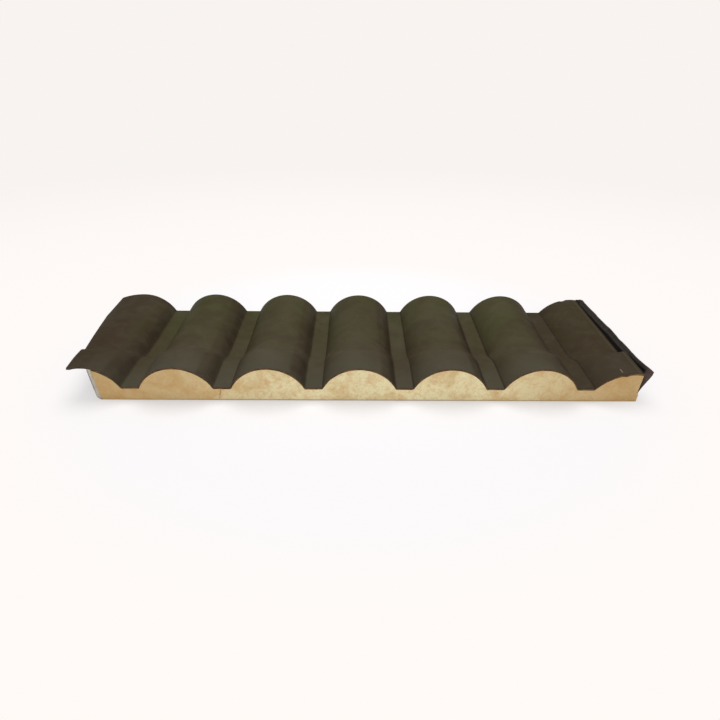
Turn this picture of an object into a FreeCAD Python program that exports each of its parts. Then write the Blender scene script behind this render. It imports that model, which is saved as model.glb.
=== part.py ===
"""Insulated roof panel with a barrel-tile steel skin, cut to a short length.

Frame, in millimetres: X runs across the panel, Y along the waves from the end
face at -Y to the eaves end at +Y, and Z up. The origin is on the underside, in
the middle of the cover width and of the length.
"""
import FreeCAD
import Part
import math
import os

# Cover
coverWidth = 1000.0
pitchCount = 6
panelLength = 318.0

# Section of the pressed skin
skinGauge = 0.5
panThickness = 27.5      # from the underside to the top of a pan, at the -Y end
waveHeight = 42.5
panFlat = 32.0           # flat between two waves, foot to foot
footBend = 3.0           # radius of the bend where a wave meets its pan

# Tile courses: each course climbs towards the eaves and ends in a pressed step
courseLength = 350.0
stepHeight = 15.0
stepAtCrown = 67.0       # from the -Y end to the top of the step, along a crown
stepLean = 0.87          # mm towards the eaves for each mm that the step's plane falls

# Lap lip on the left, which covers the next panel
lipRadius = 150.0
lipFront = 23.0          # past the last crown, on the upper course
lipStep = 31.0           # just below the step
lipBack = 52.0           # at the eaves end
lipTaper = 151.0         # length over which the lip widens below the step
lipCorner = 6.0

# Lap wave on the right, which the next panel's lip covers
lapWaveHeight = 34.5
lapPastCrown = 13.0
grooveBeforeCrown = 18.0
grooveWidth = 14.0
grooveDepth = 2.0

# Foam, with the felt under it and the soft strip along its left side
facingGauge = 1.0
coreInset = 15.0         # the panel's left side, inwards from the last crown
coreBatter = 3.5         # how far that side leans in by its foot
coreCorner = 9.0
stripGauge = 6.0
ledgeWidth = 3.0         # the foam's right foot stands out under the flap
ledgeHeight = 17.0

# Felt flap bonded along the right side, above the ledge
flapGauge = 1.2          # measured level
flapFoot = 20.5          # bonded up to here
flapKnee = 57.0          # leans out up to here, then stands
flapTop = 65.0
flapLean = 9.0
flapCurl = 0.6
flapFlare = 5.0          # how much further it leans at the -Y end
flapFlareLength = 55.0

pitch = coverWidth / pitchCount
halfWidth = coverWidth / 2
frontY = -panelLength / 2
backY = panelLength / 2
crownZ = panThickness + waveHeight
courseRise = stepHeight / courseLength
stepTopY = frontY + stepAtCrown
stepRun = stepLean * stepHeight
waveHalf = (pitch - panFlat) / 2
skinRight = halfWidth + lapPastCrown
coreRight = skinRight
coreLeft = -halfWidth + coreInset
stripFoot = coreLeft + coreBatter + coreCorner
ledgeRight = coreRight + ledgeWidth
overshoot = 30.0         # how far the working solids reach past the finished ones
skinMargin = 10.0        # the same for the foam's room under the skin


def point(x, z):
    return FreeCAD.Vector(x, 0, z)


def line(start, end):
    return Part.LineSegment(start, end).toShape()


def arc(start, middle, end):
    return Part.Arc(start, middle, end).toShape()


class Wave:
    """One pressed wave: a round back that meets the pans in small bends."""

    def __init__(self, centre, height):
        self.x = centre
        self.radius = (waveHalf ** 2 + height ** 2) / (2 * height)
        self.z = panThickness + height - self.radius
        reach = self.radius + footBend
        rise = panThickness + footBend - self.z
        self.bend = math.sqrt(reach ** 2 - rise ** 2)

    def at(self, x, depth):
        """Point of the back over x, the given depth below the outer face."""
        radius = self.radius - depth
        return point(x, self.z + math.sqrt(radius ** 2 - (x - self.x) ** 2))

    def foot(self, side, depth):
        """Where the back ends and its bend begins."""
        share = (self.radius - depth) / (self.radius + footBend)
        rise = panThickness + footBend - self.z
        return point(self.x + side * self.bend * share, self.z + rise * share)

    def back(self, start, end, depth):
        return arc(start, self.at((start.x + end.x) / 2, depth), end)

    def footArc(self, side, depth):
        """Bend from the back down to the pan, left to right."""
        centre = point(self.x + side * self.bend, panThickness + footBend)
        radius = footBend + depth
        onBack = self.foot(side, depth)
        onPan = centre - point(0, radius)
        outward = (onBack - centre) + (onPan - centre)
        middle = centre + outward.normalize() * radius
        ends = [onBack, onPan] if side > 0 else [onPan, onBack]
        return arc(ends[0], middle, ends[1])


def waves():
    full = [Wave(-halfWidth + i * pitch, waveHeight) for i in range(pitchCount)]
    return full + [Wave(halfWidth, lapWaveHeight)]


def lipEdge(depth, margin):
    """Flatter arc that carries the last crown on over the next panel."""
    radius = lipRadius - depth
    centre = point(-halfWidth, crownZ - lipRadius)
    reach = lipBack + lipCorner + margin

    def onLip(distance):
        return centre + point(-distance, math.sqrt(radius ** 2 - distance ** 2))

    return arc(onLip(reach), onLip(reach / 2), onLip(0))


def lapEdges(wave, start, depth, margin):
    """Lap wave from its foot, over the groove that stops water, to its edge."""
    grooveX = wave.x - grooveBeforeCrown
    grooveStart = wave.at(grooveX - grooveWidth / 2, depth)
    grooveEnd = wave.at(grooveX + grooveWidth / 2, depth)
    grooveFloor = wave.at(grooveX, depth) - point(0, grooveDepth)
    return [wave.back(start, grooveStart, depth),
            arc(grooveStart, grooveFloor, grooveEnd),
            wave.back(grooveEnd, wave.at(skinRight + margin, depth), depth)]


def skinLine(depth, margin):
    """Section of the skin, a depth below its outer face and a margin wider."""
    row = waves()
    edges = [lipEdge(depth, margin)]
    start = row[0].at(row[0].x, depth)
    for left, wave in zip(row, row[1:]):
        panStart = point(left.x + left.bend, panThickness - depth)
        panEnd = point(wave.x - wave.bend, panThickness - depth)
        edges += [left.back(start, left.foot(1, depth), depth), left.footArc(1, depth),
                  line(panStart, panEnd), wave.footArc(-1, depth)]
        start = wave.foot(-1, depth)
    return edges + lapEdges(row[-1], start, depth, margin)


def course(depth, margin, drop):
    """All below one tile course, as it would run over the whole length."""
    edges = skinLine(depth, margin)
    left = edges[0].Vertexes[0].Point
    right = edges[-1].Vertexes[-1].Point
    lowLeft = point(left.x, -overshoot)
    lowRight = point(right.x, -overshoot)
    edges += [line(right, lowRight), line(lowRight, lowLeft), line(lowLeft, left)]
    section = Part.Face(Part.Wire(Part.__sortEdges__(edges)))
    climb = math.atan(courseRise)
    section.rotate(FreeCAD.Vector(), FreeCAD.Vector(1, 0, 0), math.degrees(climb))
    along = FreeCAD.Vector(0, math.cos(climb), math.sin(climb))
    section.translate(FreeCAD.Vector(0, frontY, -drop) - along * overshoot)
    return section.extrude(along * (panelLength + 2 * overshoot))


def beyondStep(depth):
    """Room on the eaves side of the leaning plane that the step is pressed to."""
    topZ = crownZ + stepAtCrown * courseRise
    edgeY = stepTopY - depth * math.hypot(1, stepLean)
    rise = crownZ
    high = FreeCAD.Vector(-coverWidth, edgeY - rise * stepLean, topZ + rise)
    low = FreeCAD.Vector(-coverWidth, edgeY + 2 * rise * stepLean, topZ - 2 * rise)
    far = panelLength + backY
    corners = [high, low, FreeCAD.Vector(low.x, far, low.z), FreeCAD.Vector(low.x, far, high.z)]
    face = Part.Face(Part.makePolygon(corners + [high]))
    return face.extrude(FreeCAD.Vector(2 * coverWidth, 0, 0))


def underSkin(depth, margin):
    """All that lies below the skin, from a depth under its outer face."""
    upper = course(depth, margin, 0).cut(beyondStep(depth))
    body = upper.fuse(course(depth, margin, stepHeight)).removeSplitter()
    return body.common(slab(-coverWidth, coverWidth, -coverWidth, coverWidth))


def prism(points, height, start):
    """Upright prism over a plan outline."""
    face = Part.Face(Part.makePolygon(points + [points[0]]))
    face.translate(FreeCAD.Vector(0, 0, start))
    return face.extrude(FreeCAD.Vector(0, 0, height))


def tileSkin(below):
    """Pressed sheet, with the free edge of its lap lip trimmed to shape."""
    return underSkin(0, 0).cut(below).cut(lipOffcut())


def lipOffcut():
    """What is trimmed from the lip: all that lies outside its free edge."""
    frontX = -halfWidth - lipFront
    stepX = -halfWidth - lipStep
    backX = -halfWidth - lipBack
    outside = backX - overshoot
    stepLowY = stepTopY + stepRun
    plan = [(outside, frontY - overshoot), (frontX + lipCorner, frontY - overshoot),
            (frontX + lipCorner, frontY), (frontX, frontY + lipCorner),
            (frontX, stepTopY), (stepX, stepLowY), (backX, stepLowY + lipTaper),
            (backX, backY + overshoot), (outside, backY + overshoot)]
    corners = [FreeCAD.Vector(x, y, 0) for x, y in plan]
    return prism(corners, crownZ + 2 * overshoot, 0)


def coreBlock(inset):
    """Block as long as the panel: left side battered, its foot rounded, and a
    ledge along the foot of the right side."""
    top = crownZ + overshoot
    leftTop = point(coreLeft + inset, top)
    leftFoot = point(coreLeft + inset + coreBatter, inset)
    radius = coreCorner - inset
    start = leftFoot + (leftTop - leftFoot).normalize() * radius
    end = leftFoot + point(radius, 0)
    chord = (start + end) * 0.5
    middle = leftFoot + (chord - leftFoot) * (2 - math.sqrt(2))
    right = [point(ledgeRight, inset), point(ledgeRight, ledgeHeight),
             point(coreRight, ledgeHeight), point(coreRight, top)]
    corners = [end] + right + [leftTop, start]
    sides = [line(a, b) for a, b in zip(corners, corners[1:])]
    face = Part.Face(Part.Wire(sides + [arc(start, middle, end)]))
    face.translate(FreeCAD.Vector(0, frontY, 0))
    return face.extrude(FreeCAD.Vector(0, panelLength, 0))


def slab(left, right, low, high):
    """Plain bar along the whole panel."""
    bar = Part.makeBox(right - left, panelLength, high - low)
    bar.translate(FreeCAD.Vector(left, frontY, low))
    return bar


def lapFlap():
    """Strip bonded low on the right side, standing away from it further up."""
    inner = [point(coreRight, ledgeHeight), point(coreRight, flapFoot),
             point(coreRight + flapLean, flapKnee),
             point(coreRight + flapLean + flapCurl, flapTop)]
    outer = [p + point(flapGauge, 0) for p in reversed(inner)]
    plain = inner + outer
    flared = [p + point(flapFlare, 0) if p.z > flapFoot else p for p in plain]
    flareEnd = frontY + flapFlareLength
    sections = []
    for corners, y in [(flared, frontY), (plain, flareEnd), (plain, backY)]:
        wire = Part.makePolygon(corners + [corners[0]])
        wire.translate(FreeCAD.Vector(0, y, 0))
        sections.append(wire)
    return Part.makeLoft(sections, True, True)


below = underSkin(skinGauge, skinMargin)
leftRoom = slab(coreLeft - overshoot, stripFoot, 0, crownZ + overshoot)
strip = coreBlock(0).cut(coreBlock(stripGauge)).common(leftRoom)
facing = slab(stripFoot, ledgeRight, 0, facingGauge)
parts = {
    "tile_skin": tileSkin(below),
    "foam_core": below.common(coreBlock(0).cut(strip).cut(facing)),
    "side_strip": below.common(strip),
    "underside_facing": facing,
    "lap_flap": lapFlap(),
}

os.makedirs("parts", exist_ok=True)
for name, shape in parts.items():
    shape.exportStep(f"parts/{name}.step")
    box = shape.optimalBoundingBox(False)
    print(name, len(shape.Solids), shape.isValid(), round(shape.Volume),
          [round(v, 1) for v in (box.XMin, box.YMin, box.ZMin, box.XMax, box.YMax, box.ZMax)])
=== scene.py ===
import math

import bmesh
import bpy
from mathutils import Matrix, Vector, noise


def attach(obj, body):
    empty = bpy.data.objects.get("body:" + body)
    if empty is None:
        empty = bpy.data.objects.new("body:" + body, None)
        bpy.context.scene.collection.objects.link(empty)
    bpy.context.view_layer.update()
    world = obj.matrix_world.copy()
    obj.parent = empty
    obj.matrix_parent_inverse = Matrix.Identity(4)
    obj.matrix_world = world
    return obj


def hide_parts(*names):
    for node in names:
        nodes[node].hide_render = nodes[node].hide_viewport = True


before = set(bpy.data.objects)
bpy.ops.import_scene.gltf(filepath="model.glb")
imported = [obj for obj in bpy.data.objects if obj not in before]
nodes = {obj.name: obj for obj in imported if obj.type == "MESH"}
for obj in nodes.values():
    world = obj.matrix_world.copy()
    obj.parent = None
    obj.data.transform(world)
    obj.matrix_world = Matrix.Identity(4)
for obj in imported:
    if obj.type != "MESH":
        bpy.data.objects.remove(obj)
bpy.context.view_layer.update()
mm = 0.001

# the viewpoint, in metres
camera = {
    "place": (-0.0088, -0.8652, 0.5292),
    "down": 31.98, "turn": 0.77, "roll": -0.68,  # degrees
    "lens": 23.72, "sensor": 36.0,
}


def addCamera(c):
    down, turn, roll = (math.radians(c[k]) for k in ("down", "turn", "roll"))
    level = math.cos(down)
    ahead = Vector((math.sin(turn) * level, math.cos(turn) * level, -math.sin(down)))
    beside = Vector((math.cos(turn), -math.sin(turn), 0))
    below = ahead.cross(beside)
    across = beside * math.cos(roll) + below * math.sin(roll)
    low = below * math.cos(roll) - beside * math.sin(roll)
    data = bpy.data.cameras.new("panelCamera")
    data.lens, data.sensor_width = c["lens"], c["sensor"]
    data.clip_start, data.clip_end = 0.01, 200
    obj = bpy.data.objects.new("panelCamera", data)
    bpy.context.scene.collection.objects.link(obj)
    turned = Matrix((across, -low, -ahead)).transposed()
    obj.matrix_world = Matrix.Translation(c["place"]) @ turned.to_4x4()
    bpy.context.scene.camera = obj


addCamera(camera)
print("camera placed")

# the pressed section, in millimetres
section = {
    "halfWidth": 500.0, "pitch": 1000.0 / 6, "waves": 6,
    "pan": 27.5, "wave": 42.5, "panFlat": 32.0, "bend": 3.0,  # pan: height of a pan at the front end
    "lapWave": 34.5, "right": 513.0, "groove": 482.0, "grooveWidth": 14.0, "grooveDepth": 2.0,
    "lipRadius": 150.0, "lipFront": 25.0, "lipWaist": 22.5, "lipStep": 31.0, "lipBack": 52.0,
    "lipTaper": 151.0, "lipCorner": 12.0,
    "front": -159.0, "back": 159.0, "short": 0.05,  # short: the sheet ends this much before the back
    "climb": 15.0 / 350, "step": 15.0, "stepAt": 67.0, "lean": 0.87,
    "soft": 0.46, "easing": 11.0, "softEdge": 0.2,  # the press rounds the step, least at the free edges
    "easeRight": (486.0, 508.0), "easeLeft": (-508.0, -470.0), "easeLeast": 0.25,
    "lipWaistFrom": 34.0, "lipWaistTo": 2.0,  # how far before the step the lip narrows
    "droop": 2.4, "droopAcross": (466.0, 505.0), "droopAlong": (30.0, 150.0), "droopKept": 0.25,
    "tip": 3.4, "tipAcross": (500.0, 524.0), "tipAlong": 60.0,  # the lip's front corner hangs most
}
crownZ = section["pan"] + section["wave"]
waveHalf = (section["pitch"] - section["panFlat"]) / 2


def waveCircle(height):
    # radius and centre height of a wave, and how far from its crown the bend at its foot ends
    radius = (waveHalf ** 2 + height ** 2) / (2 * height)
    centre = section["pan"] + height - radius
    rise = section["pan"] + section["bend"] - centre
    bend = math.sqrt((radius + section["bend"]) ** 2 - rise ** 2)
    return radius, centre, bend


fullWave = waveCircle(section["wave"])
lapWave = waveCircle(section["lapWave"])


def profile(x, depth=0.0):
    # height of the section over x, a depth under its outer face
    half, pitch, bendRadius = section["halfWidth"], section["pitch"], section["bend"]
    if x < -half:
        radius = section["lipRadius"]
        return crownZ - radius + math.sqrt((radius - depth) ** 2 - (x + half) ** 2)
    index = max(0, min(section["waves"], round((x + half) / pitch)))
    radius, centre, bend = lapWave if index == section["waves"] else fullWave
    off = abs(x - (-half + index * pitch))
    foot = bend * (radius - depth) / (radius + bendRadius)
    if off < foot:
        height = centre + math.sqrt((radius - depth) ** 2 - off ** 2)
    elif off < bend:
        height = section["pan"] + bendRadius - math.sqrt((bendRadius + depth) ** 2 - (bend - off) ** 2)
    else:
        height = section["pan"] - depth
    across = (x - section["groove"]) / (section["grooveWidth"] / 2)
    if abs(across) < 1:
        height -= section["grooveDepth"] * (1 - across ** 2)
    return height


def smooth(value, low, high):
    # 0 up to low and 1 from high on
    t = max(0.0, min(1.0, (value - low) / (high - low)))
    return t * t * (3 - 2 * t)


def eased(x):
    # 1 over most of the width, 0 along the two free edges
    least = section["easeLeast"]
    return (1 - smooth(x, *section["easeRight"])) * (least + (1 - least) * smooth(x, *section["easeLeft"]))


def stepLine(x, height):
    # where the step begins and ends along the line of the section over x, and how soft its bends are
    top = crownZ + section["stepAt"] * section["climb"]
    k = 1 + section["lean"] * section["climb"]
    start = section["front"] + section["stepAt"]
    begin = (start + section["lean"] * (top - height + section["front"] * section["climb"])) / k
    easing = section["easing"] * eased(x)
    bends = section["softEdge"] + (section["soft"] - section["softEdge"]) * eased(x)
    return begin - easing, begin + section["lean"] * section["step"] / k + easing, bends


def softRamp(t, a):
    # from 0 to 1 as t does, with a rounded bend of half length a at both ends
    if t <= -a:
        return 0.0
    if t < a:
        return (t + a) ** 2 / (4 * a)
    if t <= 1 - a:
        return t
    if t < 1 + a:
        return 1 - (1 + a - t) ** 2 / (4 * a)
    return 1.0


def sag(x, y):
    # the left lip has been pushed down, most of all at its front corner
    behind = y - section["front"]
    along = 1 - (1 - section["droopKept"]) * smooth(behind, *section["droopAlong"])
    tip = smooth(-x, *section["tipAcross"]) * (1 - smooth(behind, 0, section["tipAlong"]))
    return along * smooth(-x, *section["droopAcross"]) * section["droop"] + tip * section["tip"]


def skinZ(x, y, depth=0.0):
    # height of the sheet, a depth under its outer face
    height = profile(x, depth)
    begin, end, bends = stepLine(x, height)
    drop = section["step"] * softRamp((y - begin) / (end - begin), bends)
    return height + (y - section["front"]) * section["climb"] - drop - sag(x, y)


def rowsAlong(x, before=18, after=44):
    # places along the panel that follow the step, for the line of the section over x
    begin, end, a = stepLine(x, profile(x))
    shares = (-a, -a / 2, 0, a / 2, a, 0.5, 1 - a, 1 - a / 2, 1, 1 + a / 2, 1 + a)
    marks = [begin + (end - begin) * t for t in shares]
    front, back = section["front"], section["back"] - section["short"]
    ahead = [front + (marks[0] - front) * i / before for i in range(before)]
    beyond = [marks[-1] + (back - marks[-1]) * i / after for i in range(1, after + 1)]
    return ahead + marks + beyond


def lipWidth(y):
    # how far the lap lip reaches past the last crown: narrow in front, wider from the step on
    start = section["front"] + section["stepAt"]
    low = start + section["lean"] * section["step"]
    corner = max(0.0, section["front"] + section["lipCorner"] - y)
    waist = start - section["lipWaistTo"]
    narrowing = section["lipWaist"] - section["lipFront"]
    width = section["lipFront"] + narrowing * smooth(y, start - section["lipWaistFrom"], waist)
    width -= section["lipCorner"] - math.sqrt(section["lipCorner"] ** 2 - corner ** 2)
    width += (section["lipStep"] - section["lipWaist"]) * smooth(y, waist, low)
    taper = max(0.0, min(1.0, (y - low) / section["lipTaper"]))
    return width + (section["lipBack"] - section["lipStep"]) * taper


def columnsAcross(step):
    # places across the panel, closer together in the bends
    half, pitch = section["halfWidth"], section["pitch"]
    places = []
    for index in range(section["waves"] + 1):
        radius, _, bend = lapWave if index == section["waves"] else fullWave
        middle = -half + index * pitch
        foot = bend * radius / (radius + section["bend"])
        swing = math.asin(foot / radius)
        count = max(4, round(2 * swing * radius / step))
        arc = [middle + radius * math.sin(swing * (2 * i / count - 1)) for i in range(count + 1)]
        bendRight = [middle + foot + (bend - foot) * i / 4 for i in range(1, 5)]
        bendLeft = [middle - foot - (bend - foot) * i / 4 for i in range(4, 0, -1)]
        flat = [middle + bend + (pitch - 2 * bend) * i / 5 for i in range(1, 5)]
        places += bendLeft + arc + bendRight
        if index < section["waves"]:
            places += flat
    # the groove and the free edge beyond it need closer places still
    grooveStart = section["groove"] - section["grooveWidth"] / 2
    edge = [grooveStart + section["grooveWidth"] * i / 8 for i in range(24)]
    places = [x for x in places if -half <= x < grooveStart - 2]
    places += [x for x in edge if x < section["right"] - 1]
    return sorted(set(round(x, 4) for x in places + [-half, section["right"]]))


def meshPiece(name, points, faces, rounded=True, closed=False):
    mesh = bpy.data.meshes.new(name)
    mesh.from_pydata([(x * mm, y * mm, z * mm) for x, y, z in points], [], faces)
    mesh.validate()
    if closed:
        shell = bmesh.new()
        shell.from_mesh(mesh)
        bmesh.ops.recalc_face_normals(shell, faces=shell.faces)
        shell.to_mesh(mesh)
        shell.free()
    mesh.update()
    obj = bpy.data.objects.new(name, mesh)
    bpy.context.scene.collection.objects.link(obj)
    mesh.polygons.foreach_set("use_smooth", [rounded] * len(mesh.polygons))
    return obj


# shader groups, and helpers for all the materials
def makeGroup(name, inputs, outputs):
    group = bpy.data.node_groups.new(name, "ShaderNodeTree")
    for label, kind, value in inputs:
        socket = group.interface.new_socket(label, in_out="INPUT", socket_type=kind)
        socket.default_value = value
    for label, kind in outputs:
        group.interface.new_socket(label, in_out="OUTPUT", socket_type=kind)
    return group, group.nodes.new("NodeGroupInput"), group.nodes.new("NodeGroupOutput")


def addNode(tree, kind, values=None, **settings):
    node = tree.nodes.new(kind)
    for key, value in settings.items():
        setattr(node, key, value)
    for key, value in (values or {}).items():
        node.inputs[key].default_value = value
    return node


def buildPatches():
    # soft patches: Scale is about how many there are in a metre, Level moves their share
    group, start, end = makeGroup("patches", [
        ("Vector", "NodeSocketVector", (0, 0, 0)), ("Scale", "NodeSocketFloat", 20.0),
        ("Level", "NodeSocketFloat", 0.5), ("Softness", "NodeSocketFloat", 0.15)],
        [("Mask", "NodeSocketFloat")])
    link = group.links.new
    cloud = addNode(group, "ShaderNodeTexNoise", {"Detail": 4.0, "Roughness": 0.58, "Distortion": 0.6})
    low = addNode(group, "ShaderNodeMath", operation="SUBTRACT")
    high = addNode(group, "ShaderNodeMath", operation="ADD")
    ramp = addNode(group, "ShaderNodeMapRange", interpolation_type="SMOOTHSTEP")
    link(start.outputs["Vector"], cloud.inputs["Vector"])
    link(start.outputs["Scale"], cloud.inputs["Scale"])
    for node in (low, high):
        link(start.outputs["Level"], node.inputs[0])
        link(start.outputs["Softness"], node.inputs[1])
    link(cloud.outputs["Fac"], ramp.inputs["Value"])
    link(low.outputs[0], ramp.inputs["From Min"])
    link(high.outputs[0], ramp.inputs["From Max"])
    link(ramp.outputs["Result"], end.inputs["Mask"])
    return group


def buildGrain():
    # fine surface grain as a height, with a coarser wave under it
    group, start, end = makeGroup("grain", [
        ("Vector", "NodeSocketVector", (0, 0, 0)), ("Fine Scale", "NodeSocketFloat", 900.0),
        ("Broad Scale", "NodeSocketFloat", 60.0), ("Broad Share", "NodeSocketFloat", 0.4)],
        [("Height", "NodeSocketFloat")])
    link = group.links.new
    fine = addNode(group, "ShaderNodeTexNoise", {"Detail": 3.0, "Roughness": 0.6})
    broad = addNode(group, "ShaderNodeTexNoise", {"Detail": 2.0, "Roughness": 0.5})
    mix = addNode(group, "ShaderNodeMix", data_type="FLOAT")
    link(start.outputs["Vector"], fine.inputs["Vector"])
    link(start.outputs["Vector"], broad.inputs["Vector"])
    link(start.outputs["Fine Scale"], fine.inputs["Scale"])
    link(start.outputs["Broad Scale"], broad.inputs["Scale"])
    link(start.outputs["Broad Share"], mix.inputs["Factor"])
    link(fine.outputs["Fac"], mix.inputs[2])
    link(broad.outputs["Fac"], mix.inputs[3])
    link(mix.outputs[0], end.inputs["Height"])
    return group


patches = buildPatches()
grain = buildGrain()


def newMaterial(name, rough, metallic=0.0, specular=0.5):
    material = bpy.data.materials.new(name)
    material.use_nodes = True
    tree = material.node_tree
    shader = tree.nodes["Principled BSDF"]
    shader.inputs["Roughness"].default_value = rough
    shader.inputs["Metallic"].default_value = metallic
    shader.inputs["Specular IOR Level"].default_value = specular
    return material, tree, shader


def place(tree):
    return addNode(tree, "ShaderNodeTexCoord").outputs["Object"]


def useGroup(tree, group, where, values):
    node = addNode(tree, "ShaderNodeGroup")
    node.node_tree = group
    for key, value in values.items():
        node.inputs[key].default_value = value
    tree.links.new(where, node.inputs["Vector"])
    return node.outputs[0]


def blend(tree, mask, first, second):
    # first colour where the mask is 0, second where it is 1
    node = addNode(tree, "ShaderNodeMix", data_type="RGBA")
    for value, socket in ((first, node.inputs[6]), (second, node.inputs[7])):
        if isinstance(value, tuple):
            socket.default_value = (*value, 1)
        else:
            tree.links.new(value, socket)
    if isinstance(mask, float):
        node.inputs[0].default_value = mask
    else:
        tree.links.new(mask, node.inputs[0])
    return node.outputs[2]


def scaled(tree, value, low, high):
    node = addNode(tree, "ShaderNodeMapRange", {"To Min": low, "To Max": high})
    tree.links.new(value, node.inputs["Value"])
    return node.outputs["Result"]


def bump(tree, shader, height, distance, strength=1.0):
    node = addNode(tree, "ShaderNodeBump", {"Distance": distance, "Strength": strength})
    tree.links.new(height, node.inputs["Height"])
    tree.links.new(node.outputs["Normal"], shader.inputs["Normal"])


def axisMask(tree, where, axis, start, end):
    # 0 at start and 1 at end, in metres along one axis
    split = addNode(tree, "ShaderNodeSeparateXYZ")
    tree.links.new(where, split.inputs[0])
    ramp = addNode(tree, "ShaderNodeMapRange", {"From Min": start, "From Max": end},
                   interpolation_type="SMOOTHSTEP")
    tree.links.new(split.outputs[axis], ramp.inputs["Value"])
    return ramp.outputs["Result"]


def combine(tree, first, second, operation="MULTIPLY"):
    node = addNode(tree, "ShaderNodeMath", operation=operation)
    for value, socket in ((first, node.inputs[0]), (second, node.inputs[1])):
        if isinstance(value, float):
            socket.default_value = value
        else:
            tree.links.new(value, socket)
    return node.outputs[0]


def blendShare(tree, mask, amount, first, second):
    # as blend, with at most this amount of the second colour
    return blend(tree, combine(tree, mask, amount), first, second)


def band(tree, where, axis, middle, inner, outer):
    # 1 within the inner distance of the middle and 0 beyond the outer one, in metres along one axis
    rise = axisMask(tree, where, axis, middle - outer, middle - inner)
    return combine(tree, rise, axisMask(tree, where, axis, middle + outer, middle + inner))


# the painted steel sheet: its colour zones are in metres, and the amounts are shares
tileSheet = {
    "gauge": 0.5, "spacing": 5.5, "lipRows": 27.0, "ripple": 0.12, "rippleLength": 46.0,
    "olive": (0.055, 0.046, 0.023), "green": (0.047, 0.046, 0.015), "umber": (0.035, 0.022, 0.011),
    "slate": (0.061, 0.056, 0.037), "shade": (0.026, 0.016, 0.011), "dust": (0.082, 0.072, 0.048),
    "scratch": (0.30, 0.28, 0.22), "primer": (0.30, 0.29, 0.27),
    "cutEdge": (0.085, 0.036, 0.016), "cutShade": (0.06, 0.035, 0.02),
    "roughness": (0.55, 0.70),
    "eaves": (-0.09, 0.14), "nearEnd": (-0.06, -0.155),  # green grows over the first, slate over the second
    "greenLeast": 0.55, "greenFeet": 0.6, "slateShare": 0.70,
    "umberRight": (0.33, 0.385), "umberLeft": (-0.42, -0.50), "rightShare": 0.86, "endsUmberAndShade": 0.78,
    "umberPatches": 0.40, "rightFeetShade": 0.62, "cornerShade": 0.75, "flankShade": 0.45, "streaks": 0.16, "rubbed": 0.35,
    "rubbedAt": 0.5065, "scratchAt": (0.47875, -0.144), "scratchShare": 0.6,
}


def ribMask(tree, where, low, high, soft):
    # a window across every rib, in shares of its pitch counted from its crown
    split = addNode(tree, "ShaderNodeSeparateXYZ")
    tree.links.new(where, split.inputs[0])
    shift = addNode(tree, "ShaderNodeMath", {1: section["halfWidth"] * mm}, operation="ADD")
    tree.links.new(split.outputs["X"], shift.inputs[0])
    turns = addNode(tree, "ShaderNodeMath", {1: section["pitch"] * mm}, operation="DIVIDE")
    tree.links.new(shift.outputs[0], turns.inputs[0])
    part = combine(tree, turns.outputs[0], 0.0, "FRACT")
    rise = addNode(tree, "ShaderNodeMapRange", {"From Min": low - soft, "From Max": low + soft},
                   interpolation_type="SMOOTHSTEP")
    fall = addNode(tree, "ShaderNodeMapRange", {"From Min": high + soft, "From Max": high - soft},
                   interpolation_type="SMOOTHSTEP")
    tree.links.new(part, rise.inputs["Value"])
    tree.links.new(part, fall.inputs["Value"])
    return combine(tree, rise.outputs["Result"], fall.outputs["Result"])


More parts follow.
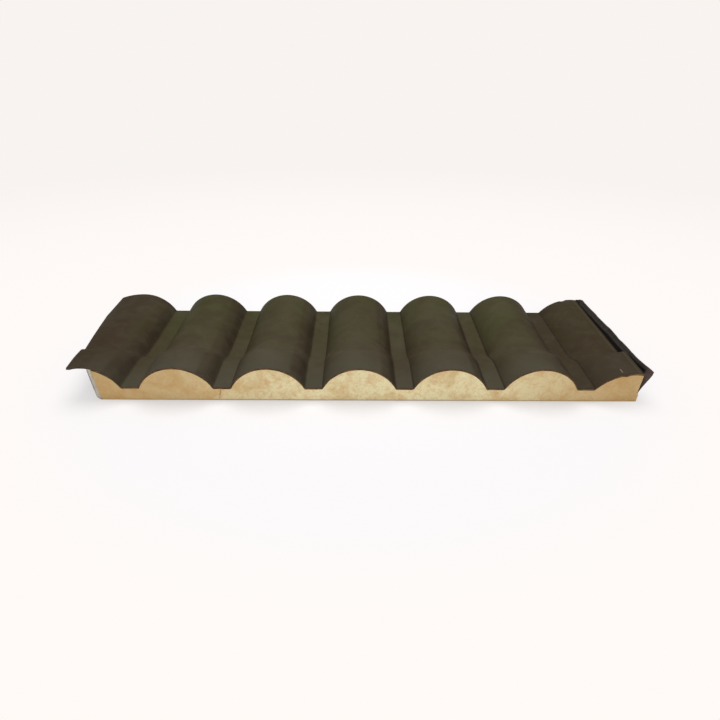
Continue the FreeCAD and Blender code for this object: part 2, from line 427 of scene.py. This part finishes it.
def oliveCoat(s):
    material, tree, shader = newMaterial("oliveCoat", 0.6, specular=0.09)
    where = place(tree)
    drift = useGroup(tree, patches, where, {"Scale": 6.0, "Level": 0.48, "Softness": 0.16})
    warm = useGroup(tree, patches, where, {"Scale": 14.0, "Level": 0.52, "Softness": 0.12})
    streaks = useGroup(tree, patches, where, {"Scale": 38.0, "Level": 0.54, "Softness": 0.12})
    eaves = axisMask(tree, where, "Y", *s["eaves"])
    nearEnd = axisMask(tree, where, "Y", *s["nearEnd"])
    leftFeet = ribMask(tree, where, 0.56, 0.74, 0.05)
    rightFeet = ribMask(tree, where, 0.24, 0.405, 0.022)
    greener = combine(tree, combine(tree, drift, s["greenLeast"], "MAXIMUM"), eaves)
    colour = blend(tree, greener, s["olive"], s["green"])
    colour = blendShare(tree, combine(tree, leftFeet, eaves), s["greenFeet"], colour, s["green"])
    colour = blendShare(tree, warm, s["umberPatches"], colour, s["umber"])
    colour = blendShare(tree, nearEnd, s["slateShare"], colour, s["slate"])
    # painted shade: the lower right flank of each wave is darkened with umber, more so inside the umber
    # patches
    shadedRightFeet = combine(tree, rightFeet, combine(tree, warm, 0.55, "MAXIMUM"))
    colour = blendShare(tree, shadedRightFeet, s["rightFeetShade"], colour, s["umber"])
    # both ends of the sheet turn darker and browner: partly its own reddish-brown tone, partly painted shade
    # where the light falls off towards the ends
    rightSide = combine(tree, axisMask(tree, where, "X", *s["umberRight"]), s["rightShare"])
    sides = combine(tree, rightSide, axisMask(tree, where, "X", *s["umberLeft"]), "ADD")
    colour = blendShare(tree, sides, s["endsUmberAndShade"], colour, s["umber"])
    # painted shade lies in the corner where each wave leaves its pan
    colour = blendShare(tree, ribMask(tree, where, 0.592, 0.606, 0.006), s["cornerShade"], colour, s["shade"])
    # painted shade low on the right flank of each wave, just above its pan
    colour = blendShare(tree, ribMask(tree, where, 0.33, 0.398, 0.03), s["flankShade"], colour, s["shade"])
    colour = blendShare(tree, streaks, s["streaks"], colour, s["dust"])
    rubbed = band(tree, where, "X", s["rubbedAt"], 0.0013, 0.0025)
    colour = blendShare(tree, rubbed, s["rubbed"], colour, s["dust"])
    acrossScratch, alongScratch = s["scratchAt"]
    scratch = combine(tree, band(tree, where, "X", acrossScratch, 0.00055, 0.00125),
                      band(tree, where, "Y", alongScratch, 0.004, 0.006))
    colour = blendShare(tree, scratch, s["scratchShare"], colour, s["scratch"])
    tree.links.new(colour, shader.inputs["Base Color"])
    tree.links.new(scaled(tree, drift, *s["roughness"]), shader.inputs["Roughness"])
    height = useGroup(tree, grain, where, {"Fine Scale": 1400.0, "Broad Scale": 45.0, "Broad Share": 0.5})
    bump(tree, shader, height, 0.0004, 0.5)
    return material


def primerCoat(s):
    material, tree, shader = newMaterial("primerCoat", 0.6)
    where = place(tree)
    mask = useGroup(tree, patches, where, {"Scale": 40.0, "Level": 0.5})
    darker = tuple(c * 0.8 for c in s["primer"])
    tree.links.new(blend(tree, mask, s["primer"], darker), shader.inputs["Base Color"])
    bump(tree, shader, useGroup(tree, grain, where, {}), 0.0003, 0.4)
    return material


def cutSteel(s):
    material, tree, shader = newMaterial("cutSteel", 0.55, metallic=0.2)
    where = place(tree)
    mask = useGroup(tree, patches, where, {"Scale": 120.0, "Level": 0.5, "Softness": 0.2})
    tree.links.new(blend(tree, mask, s["cutEdge"], s["cutShade"]), shader.inputs["Base Color"])
    bump(tree, shader, useGroup(tree, grain, where, {}), 0.0002, 0.5)
    return material


def buildTileSheet(s):
    half = section["halfWidth"]
    lipShares = [1 - i / 12 for i in range(12)]
    places = []
    for share in lipShares:
        rows = rowsAlong(-half - s["lipRows"] * share)
        places.append([(-half - share * lipWidth(y), y) for y in rows])
    for x in columnsAcross(s["spacing"]):
        places.append([(x, y) for y in rowsAlong(x)])
    points = []
    for line in places:
        for x, y in line:
            # the sheet ripples a little, downwards only
            ripple = s["ripple"] * (noise.noise(Vector((x, y, 3.0)) / s["rippleLength"]) - 0.5)
            points.append((x, y, skinZ(x, y) + min(0.0, ripple)))
    count = len(places[0])
    faces = [(c * count + r, (c + 1) * count + r, (c + 1) * count + r + 1, c * count + r + 1)
             for c in range(len(places) - 1) for r in range(count - 1)]
    sheet = meshPiece("tileSheet", points, faces)
    for make in (oliveCoat, primerCoat, cutSteel):
        sheet.data.materials.append(make(s))
    thick = sheet.modifiers.new("gauge", "SOLIDIFY")
    thick.thickness, thick.offset = s["gauge"] * mm, -1
    thick.use_even_offset = True
    thick.material_offset, thick.material_offset_rim = 1, 2
    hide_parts("tile_skin")
    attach(sheet, "root")
    print("tile sheet:", len(faces), "faces before its gauge")


buildTileSheet(tileSheet)

# the left side, shared by the foam and its strip
side = {"left": -485.0, "batter": 3.5, "corner": 9.0, "gauge": 7.2, "high": 100.0}
stripFoot = side["left"] + side["batter"] + side["corner"]


def leftSide(z, inset):
    # the battered side with its rounded foot, an inset inwards
    foot = side["left"] + side["batter"] + inset
    radius = side["corner"] - inset
    if z < inset:
        return stripFoot
    if z < inset + radius:
        return foot + radius - math.sqrt(max(0.0, radius ** 2 - (inset + radius - z) ** 2))
    return foot - side["batter"] * (z - inset) / (side["high"] - inset)


# the foam, sawn flat at both ends
foamBlock = {
    "right": 513.0, "ledge": 3.0, "ledgeHeight": 16.4, "foot": 1.0, "under": 0.62,
    "edgeUnder": 0.5, "edgeFrom": (480.0, 492.0),  # more room under the sheet's free edge
    "columns": 600, "levels": 34, "bond": 2.8, "leftReach": 30.0, "rightReach": 9.0, "cutBack": 0.05,
    "tan": (0.67, 0.505, 0.250), "pale": (0.84, 0.76, 0.47), "rose": (0.69, 0.43, 0.21),
    "amber": (0.505, 0.302, 0.113), "seam": (0.070, 0.026, 0.011),
    "roseWarm": 0.50, "roseSpots": 0.38, "paleLight": 0.50, "specks": 0.75,
    "amberEnds": 0.72, "amberCells": 0.22, "amberFoot": 0.45,
    "crackX": -258.0, "crackLean": 0.22, "crackDepth": 3.0, "crackWidth": 0.7,
    "dents": 1.1, "pits": 1.9, "saw": 0.16,
}


def cutDepth(x, z, s):
    # how far the sawn face lies behind its plane
    at = Vector((x, z, 0))
    saw = s["saw"] * abs(noise.noise(Vector((x * 0.55, z * 0.06, 4.0))))
    dents = s["dents"] * max(0.0, noise.noise(at / 15) - 0.08)
    pits = s["pits"] * max(0.0, noise.noise(at / 3.6 + Vector((9, 2, 5))) - 0.30)
    wander = s["crackX"] + s["crackLean"] * z + 1.2 * noise.noise(Vector((z / 6, 1.0, 8.0)))
    crack = 0.0
    if z < section["pan"]:
        crack = s["crackDepth"] * math.exp(-((x - wander) / s["crackWidth"]) ** 2)
    return saw + dents + pits + crack


def amberFoam(s):
    material, tree, shader = newMaterial("amberFoam", 0.92, specular=0.12)
    where = place(tree)
    broad = useGroup(tree, patches, where, {"Scale": 17.0, "Level": 0.47, "Softness": 0.13})
    spots = useGroup(tree, patches, where, {"Scale": 105.0, "Level": 0.55, "Softness": 0.07})
    light = useGroup(tree, patches, where, {"Scale": 74.0, "Level": 0.56, "Softness": 0.10})
    warm = useGroup(tree, patches, where, {"Scale": 46.0, "Level": 0.58, "Softness": 0.09})
    cells = useGroup(tree, patches, where, {"Scale": 330.0, "Level": 0.56, "Softness": 0.12})
    specks = useGroup(tree, patches, where, {"Scale": 260.0, "Level": 0.715, "Softness": 0.025})
    # both ends of the block are more amber than its middle, and so is its foot
    leftEnd = axisMask(tree, where, "X", -0.10, -0.44)
    ends = combine(tree, leftEnd, axisMask(tree, where, "X", 0.20, 0.50), "ADD")
    foot = axisMask(tree, where, "Z", 0.0030, 0.0012)
    colour = blend(tree, broad, s["tan"], s["pale"])
    colour = blendShare(tree, warm, s["roseWarm"], colour, s["rose"])
    colour = blendShare(tree, spots, s["roseSpots"], colour, s["rose"])
    colour = blendShare(tree, light, s["paleLight"], colour, s["pale"])
    colour = blendShare(tree, ends, s["amberEnds"], colour, s["amber"])
    colour = blendShare(tree, cells, s["amberCells"], colour, s["amber"])
    colour = blendShare(tree, foot, s["amberFoot"], colour, s["amber"])
    colour = blendShare(tree, specks, s["specks"], colour, s["seam"])
    tree.links.new(colour, shader.inputs["Base Color"])
    height = useGroup(tree, grain, where, {"Fine Scale": 1500.0, "Broad Scale": 260.0, "Broad Share": 0.45})
    bump(tree, shader, height, 0.0009, 0.7)
    return material


def bondSeam(s):
    # the dense, darker foam that sticks to the sheet
    material, tree, shader = newMaterial("bondSeam", 0.8, specular=0.2)
    where = place(tree)
    mask = useGroup(tree, patches, where, {"Scale": 90.0, "Level": 0.55, "Softness": 0.2})
    tree.links.new(blendShare(tree, mask, 0.3, s["seam"], s["amber"]), shader.inputs["Base Color"])
    bump(tree, shader, useGroup(tree, grain, where, {}), 0.0005, 0.5)
    return material


def buildFoam(s):
    start, columns, levels = stripFoot, s["columns"], s["levels"]
    across = [start + (s["right"] - start) * i / columns for i in range(columns + 1)]
    perColumn = levels + 2
    points, faces, seams = [], [], []

    def spread(x, z):
        # the block is laid out between upright sides, then pulled to its two shaped ones
        toLeft = max(0.0, 1 - (x - start) / s["leftReach"])
        toRight = max(0.0, 1 - (s["right"] - x) / s["rightReach"])
        ledge = s["ledge"] * (1 - smooth(z, s["ledgeHeight"] - 0.9, s["ledgeHeight"] + 0.4))
        return x + (leftSide(z, side["gauge"]) - start) * toLeft + ledge * toRight

    def roof(x, y):
        return skinZ(x, y, s["under"]) - s["edgeUnder"] * smooth(x, *s["edgeFrom"])

    topX = [spread(x, 60.0) for x in across]  # above the ledge and the rounded foot
    rows = [rowsAlong(x, 8, 16) for x in topX]
    last = len(rows[0]) - 1

    def column(c, y):
        top = roof(topX[c], y)
        high = top - s["bond"]
        heights = [s["foot"] + (high - s["foot"]) * i / levels for i in range(levels + 1)]
        return [(spread(across[c], z), y, z) for z in heights] + [(topX[c], y, top)]

    def endFace(y, inward):
        first = len(points)
        for c, x in enumerate(across):
            upright = column(c, y)
            top = upright[-1][2]
            for shownX, _, z in upright:
                # the marks of the saw fade out towards the edges of the face
                fade = min(1.0, (z - s["foot"]) / 1.5, (top - z) / 2.5, (x - start) / 3, (s["right"] - x) / 3)
                depth = max(0.0, fade) * cutDepth(shownX, z, s)
                points.append((shownX, y + inward * depth, z))
        return first

    front = endFace(section["front"] + s["cutBack"], 1)
    back = endFace(section["back"] - s["cutBack"], -1)
    for c in range(columns):
        for r in range(perColumn - 1):
            if r == perColumn - 2:
                seams += [len(faces), len(faces) + 1]
            for first in (front, back):
                a, b = first + c * perColumn + r, first + (c + 1) * perColumn + r
                faces.append((a, b, b + 1, a + 1))
    rims = [[front + c * perColumn + perColumn - 1 for c in range(columns + 1)]]
    for k in range(1, last):
        rims.append([len(points) + c for c in range(columns + 1)])
        points += [(topX[c], rows[c][k], roof(topX[c], rows[c][k])) for c in range(columns + 1)]
    rims.append([back + c * perColumn + perColumn - 1 for c in range(columns + 1)])
    for near, far in zip(rims, rims[1:]):
        faces += [(near[c], near[c + 1], far[c + 1], far[c]) for c in range(columns)]
    feet = []
    for c in (0, columns):
        walls = [[front + c * perColumn + r for r in range(perColumn)]]
        for k in range(1, last):
            first = len(points)
            points += column(c, rows[c][k])[:-1]
            walls.append([first + r for r in range(perColumn - 1)] + [rims[k][c]])
        walls.append([back + c * perColumn + r for r in range(perColumn)])
        for near, far in zip(walls, walls[1:]):
            faces += [(near[r], far[r], far[r + 1], near[r + 1]) for r in range(perColumn - 1)]
        feet.append([wall[0] for wall in walls])
    frontFoot = [front + c * perColumn for c in range(columns + 1)]
    backFoot = [back + c * perColumn for c in range(columns + 1)]
    faces.append(tuple(feet[0] + backFoot[1:-1] + feet[1][::-1] + frontFoot[1:-1][::-1]))
    foam = meshPiece("foamBlock", points, faces, rounded=False, closed=True)
    foam.data.materials.append(amberFoam(s))
    foam.data.materials.append(bondSeam(s))
    for index in seams:
        foam.data.polygons[index].material_index = 1
    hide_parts("foam_core")
    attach(foam, "root")
    print("foam block:", len(faces), "faces")


buildFoam(foamBlock)


def sweptPiece(name, ring, places, material):
    # a closed section, given by ring(y), carried along the panel
    points, faces = [], []
    count = len(ring(places[0]))
    for y in places:
        points += [(x, y, z) for x, z in ring(y)]
    for k in range(len(places) - 1):
        for i in range(count):
            j = (i + 1) % count
            a, b = k * count, (k + 1) * count
            faces.append((a + i, b + i, b + j, a + j))
    half = count // 2
    last = (len(places) - 1) * count
    for i in range(half - 1):
        faces.append((i, i + 1, count - 2 - i, count - 1 - i))
        faces.append((last + i, last + count - 1 - i, last + count - 2 - i, last + i + 1))
    piece = meshPiece(name, points, faces, closed=True)
    piece.data.materials.append(material)
    return piece


# the soft strip along the left side
sideStrip = {
    "grey": (0.56, 0.53, 0.44), "dull": (0.40, 0.37, 0.30), "film": (0.16, 0.13, 0.11),
    "levels": 22, "under": 0.56, "clear": 0.08, "pucker": 0.9,
}


def greyStrip(s):
    material, tree, shader = newMaterial("greyStrip", 0.85, specular=0.2)
    where = place(tree)
    mask = useGroup(tree, patches, where, {"Scale": 48.0, "Level": 0.56, "Softness": 0.14})
    cells = useGroup(tree, patches, where, {"Scale": 420.0, "Level": 0.56, "Softness": 0.1})
    colour = blend(tree, mask, s["grey"], s["dull"])
    colour = blendShare(tree, cells, 0.35, colour, s["dull"])
    # a thin dark film lies along the battered outer face, above the foot
    split = addNode(tree, "ShaderNodeSeparateXYZ")
    tree.links.new(where, split.inputs[0])
    slope = addNode(tree, "ShaderNodeMath", {1: side["batter"] / side["high"]}, operation="MULTIPLY_ADD")
    tree.links.new(split.outputs["Z"], slope.inputs[0])
    tree.links.new(split.outputs["X"], slope.inputs[2])
    outer = (side["left"] + side["batter"]) * mm
    film = addNode(tree, "ShaderNodeMapRange", {"From Min": outer + 0.0018, "From Max": outer + 0.0009})
    tree.links.new(slope.outputs[0], film.inputs["Value"])
    filmHigh = combine(tree, film.outputs["Result"], axisMask(tree, where, "Z", 0.012, 0.030))
    colour = blendShare(tree, filmHigh, 0.8, colour, s["film"])
    colour = blend(tree, axisMask(tree, where, "Z", 0.0022, 0.0012), colour, s["film"])
    tree.links.new(colour, shader.inputs["Base Color"])
    height = useGroup(tree, grain, where, {"Fine Scale": 900.0, "Broad Scale": 80.0, "Broad Share": 0.5})
    bump(tree, shader, height, 0.0008, 0.6)
    return material


def buildSideStrip(s):
    def ring(y):
        outer, inner = [], []
        for i in range(s["levels"] + 1):
            share = i / s["levels"]
            for store, inset in ((outer, 0.0), (inner, side["gauge"] - s["clear"])):
                top = skinZ(leftSide(inset + 30 * share, inset), y, s["under"])
                z = inset + share ** 1.6 * (top - inset)  # closer together round the foot
                x = leftSide(z, inset)
                if store is outer:
                    wave = noise.noise(Vector((y / 21, z / 15, 2.0)))
                    wave += 0.5 * noise.noise(Vector((y / 6, z / 6, 7.0)))
                    x += s["pucker"] * max(0.0, wave) * min(1, z / 6)
                store.append((x, z))
        return outer[::-1] + inner

    strip = sweptPiece("sideStrip", ring, rowsAlong(side["left"], 14, 30), greyStrip(s))
    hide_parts("side_strip")
    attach(strip, "root")
    print("side strip:", len(strip.data.polygons), "faces")


buildSideStrip(sideStrip)

# the felt under the foam
feltFacing = {"brown": (0.30, 0.20, 0.105), "grit": (0.42, 0.32, 0.19)}


def brownFelt(s):
    material, tree, shader = newMaterial("brownFelt", 0.9, specular=0.2)
    where = place(tree)
    mask = useGroup(tree, patches, where, {"Scale": 32.0, "Level": 0.54, "Softness": 0.16})
    specks = useGroup(tree, patches, where, {"Scale": 520.0, "Level": 0.58, "Softness": 0.07})
    colour = blendShare(tree, mask, 0.5, s["brown"], s["grit"])
    tree.links.new(blendShare(tree, specks, 0.6, colour, s["grit"]), shader.inputs["Base Color"])
    height = useGroup(tree, grain, where, {"Fine Scale": 800.0, "Broad Scale": 90.0, "Broad Share": 0.4})
    bump(tree, shader, height, 0.0008, 0.7)
    return material


feltMaterial = brownFelt(feltFacing)
for holder in nodes["underside_facing"].material_slots:
    holder.material = feltMaterial
print("felt facing finished")

# the felt flap along the right side
feltFlap = {
    "foot": (513.0, 17.05), "bond": 20.5, "knee": (522.0, 57.0), "top": (522.6, 65.0),
    "gauge": 1.15, "flare": 5.0, "flareLength": 58.0, "wave": 1.0,
    "bulge": 1.5, "bulgeAt": 3.0, "bulgeLength": 16.0, "ragged": 1.4, "turnIn": 13.0, "turnDrop": 3.4,
    "levels": 22, "stations": 150, "foldGauge": 1.2,
    "charcoal": (0.044, 0.037, 0.031), "scuff": (0.085, 0.072, 0.060), "end": (0.105, 0.076, 0.066),
    "gapShade": (0.003, 0.0025, 0.002), "gapShadeTop": 0.0530, "gapShadeTopFront": 0.0580, "gapShadeStart": -0.1425,
}


def charcoalFelt(s, name, gapShaded=False):
    material, tree, shader = newMaterial(name, 0.85, specular=0.25)
    where = place(tree)
    mask = useGroup(tree, patches, where, {"Scale": 60.0, "Level": 0.54, "Softness": 0.14})
    specks = useGroup(tree, patches, where, {"Scale": 600.0, "Level": 0.60, "Softness": 0.06})
    colour = blendShare(tree, mask, 0.6, s["charcoal"], s["scuff"])
    colour = blendShare(tree, specks, 0.5, colour, s["scuff"])
    if gapShaded:
        # painted shade: the inner face is near black low down, where it lies deep in the gap behind the
        # sheet's edge, though not at its cut end
        low = axisMask(tree, where, "Z", s["gapShadeTop"] + 0.001, s["gapShadeTop"] - 0.001)
        lowFront = axisMask(tree, where, "Z", s["gapShadeTopFront"] + 0.001, s["gapShadeTopFront"] - 0.001)
        lowFront = combine(tree, lowFront, axisMask(tree, where, "Y", -0.084, -0.094))
        behind = axisMask(tree, where, "Y", s["gapShadeStart"] - 0.003, s["gapShadeStart"] + 0.003)
        gapShadeMask = combine(tree, combine(tree, low, lowFront, "MAXIMUM"), behind)
        colour = blend(tree, gapShadeMask, colour, s["gapShade"])
    cut = axisMask(tree, where, "Y", s["gapShadeStart"] + 0.002, s["gapShadeStart"] - 0.002)
    tree.links.new(blendShare(tree, cut, 0.8, colour, s["end"]), shader.inputs["Base Color"])
    height = useGroup(tree, grain, where, {"Fine Scale": 900.0, "Broad Scale": 85.0, "Broad Share": 0.35})
    bump(tree, shader, height, 0.0008, 0.7)
    return material


def buildFlap(s):
    footX, footZ = s["foot"]
    path = [s["foot"], (footX, s["bond"]), s["knee"], s["top"]]
    spans = [math.dist(a, b) for a, b in zip(path, path[1:])]

    def onPath(share):
        left = share * sum(spans)
        for (a, b), span in zip(zip(path, path[1:]), spans):
            if left <= span or b is path[-1]:
                t = min(1.0, left / span)
                return a[0] + (b[0] - a[0]) * t, a[1] + (b[1] - a[1]) * t
            left -= span

    def ring(y):
        inner, outer = [], []
        front = 1 - smooth(y, section["front"], section["front"] + s["flareLength"])
        end = smooth(y, section["back"] - s["turnIn"], section["back"])
        for i in range(s["levels"] + 1):
            x, z = onPath(i / s["levels"])
            free = smooth(z, s["bond"], s["top"][1])
            loose = s["wave"] * noise.noise(Vector((y / 33, z / 40, 5.0)))
            bulge = s["bulge"] * math.exp(-((y - s["bulgeAt"]) / s["bulgeLength"]) ** 2)
            ragged = s["ragged"] * max(0.0, noise.noise(Vector((y / 24, 3.0, 1.0))))
            x += min(free * (front * s["flare"] + loose + bulge), s["flare"] - 0.1)
            z -= free * (ragged + s["turnDrop"] * end)
            inner.append((max(footX, x), z))
            outer.append((max(footX, x) + s["gauge"], z))
        return inner[::-1] + outer

    low, high = section["front"] + 0.1, section["back"] - 0.1
    places = [low + (high - low) * i / s["stations"] for i in range(s["stations"] + 1)]
    piece = sweptPiece("feltFlap", ring, places, charcoalFelt(s, "charcoalFelt"))
    piece.data.materials.append(charcoalFelt(s, "gapShadedFelt", gapShaded=True))
    # the inner face of the flap takes the copy with painted shade
    perRing = 2 * (s["levels"] + 1)
    for k in range(s["stations"]):
        for i in range(s["levels"]):
            piece.data.polygons[k * perRing + i].material_index = 1
    # its corner at the eaves end is folded in behind the sheet
    rows = ring(high)[:s["levels"] - 3]
    points, faces = [], []
    for x, z in rows:
        near, far = footX + 0.5, x + 0.3
        points += [(near, high - s["foldGauge"], z - 0.8), (far, high - s["foldGauge"], z - 0.8),
                   (far, high, z - 0.8), (near, high, z - 0.8)]
    for k in range(len(rows) - 1):
        for i in range(4):
            j = (i + 1) % 4
            faces.append((4 * k + i, 4 * k + j, 4 * k + 4 + j, 4 * k + 4 + i))
    faces += [(0, 3, 2, 1), tuple(4 * (len(rows) - 1) + i for i in range(4))]
    fold = meshPiece("flapFold", points, faces, rounded=False, closed=True)
    fold.data.materials.append(piece.data.materials[0])
    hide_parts("lap_flap")
    for part in (piece, fold):
        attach(part, "root")
    print("flap:", len(piece.data.polygons) + len(fold.data.polygons), "faces")


buildFlap(feltFlap)

# floor and light
studio = {
    "floor": (0.86, 0.86, 0.88), "near": (0.985, 0.975, 0.992), "side": (1.0, 0.955, 0.930),
    "far": (0.938, 0.896, 0.871),
    "glow": 0.36, "stretch": (1.0, 1.2, 1.0),
    "fade": (0.42, 0.72, 2.8),  # metres out to where the lit floor, the plain white and the haze end
    "keyPower": 34.0, "keySize": 1.5, "keyPlace": (0.0, 0.62, 2.05),
    "fillPower": 15.0, "fillSize": 1.4, "fillPlace": (0.0, -2.3, 1.2),
    "air": 0.46, "warmth": (1.0, 0.98, 0.96), "floorDrop": 0.0002,
}


def paperFloor(s):
    material = bpy.data.materials.new("paperFloor")
    material.use_nodes = True
    tree = material.node_tree
    tree.nodes.clear()
    link = tree.links.new
    output = addNode(tree, "ShaderNodeOutputMaterial")
    matt = addNode(tree, "ShaderNodeBsdfDiffuse", {"Color": (*s["floor"], 1)})
    glow = addNode(tree, "ShaderNodeEmission", {"Strength": 1.0})
    reach = addNode(tree, "ShaderNodeVectorMath", operation="LENGTH")
    oval = addNode(tree, "ShaderNodeVectorMath", {1: s["stretch"]}, operation="MULTIPLY")
    link(place(tree), oval.inputs[0])
    link(oval.outputs[0], reach.inputs[0])

    def ringMask(start, end, low=0.0):
        ramp = addNode(tree, "ShaderNodeMapRange", {"From Min": start, "From Max": end, "To Min": low},
                       interpolation_type="SMOOTHSTEP")
        link(reach.outputs["Value"], ramp.inputs["Value"])
        return ramp.outputs["Result"]

    lit, plain, end = s["fade"]
    away = ringMask(lit, plain, s["glow"])
    tint = blend(tree, ringMask(lit, plain), s["near"], s["side"])
    link(blend(tree, ringMask(plain, end), tint, s["far"]), glow.inputs["Color"])
    path = addNode(tree, "ShaderNodeLightPath")
    seen = addNode(tree, "ShaderNodeMath", operation="MAXIMUM")
    share = addNode(tree, "ShaderNodeMath", operation="MULTIPLY")
    mix = addNode(tree, "ShaderNodeMixShader")
    link(path.outputs["Is Camera Ray"], seen.inputs[0])
    link(path.outputs["Is Glossy Ray"], seen.inputs[1])
    link(seen.outputs[0], share.inputs[0])
    link(away, share.inputs[1])
    link(share.outputs[0], mix.inputs[0])
    link(matt.outputs[0], mix.inputs[1])
    link(glow.outputs[0], mix.inputs[2])
    link(mix.outputs[0], output.inputs["Surface"])
    return material


def buildStudio(s):
    bpy.ops.mesh.primitive_plane_add(size=60, location=(0, 0, -s["floorDrop"]))
    floor = bpy.context.object
    floor.name = "floor"
    floor.data.materials.append(paperFloor(s))
    world = bpy.data.worlds.new("studioAir")
    bpy.context.scene.world = world
    world.use_nodes = True
    tree = world.node_tree
    tree.nodes.clear()
    link = tree.links.new
    output = addNode(tree, "ShaderNodeOutputWorld")
    air = addNode(tree, "ShaderNodeBackground", {"Color": (*s["warmth"], 1), "Strength": s["air"]})
    white = addNode(tree, "ShaderNodeBackground", {"Color": (*s["far"], 1), "Strength": 1.0})
    path = addNode(tree, "ShaderNodeLightPath")
    mix = addNode(tree, "ShaderNodeMixShader")
    link(path.outputs["Is Camera Ray"], mix.inputs[0])
    link(air.outputs[0], mix.inputs[1])
    link(white.outputs[0], mix.inputs[2])
    link(mix.outputs[0], output.inputs["Surface"])
    for name in ("key", "fill"):
        data = bpy.data.lights.new(name + "Lamp", "AREA")
        data.energy, data.size, data.color = s[name + "Power"], s[name + "Size"], s["warmth"]
        lamp = bpy.data.objects.new(name + "Lamp", data)
        bpy.context.scene.collection.objects.link(lamp)
        lamp.location = s[name + "Place"]
        towards = Vector((0, 0, 0.03)) - lamp.location
        lamp.rotation_euler = towards.to_track_quat("-Z", "Y").to_euler()


buildStudio(studio)
bpy.context.scene.view_settings.view_transform = "Standard"
print("studio lit")
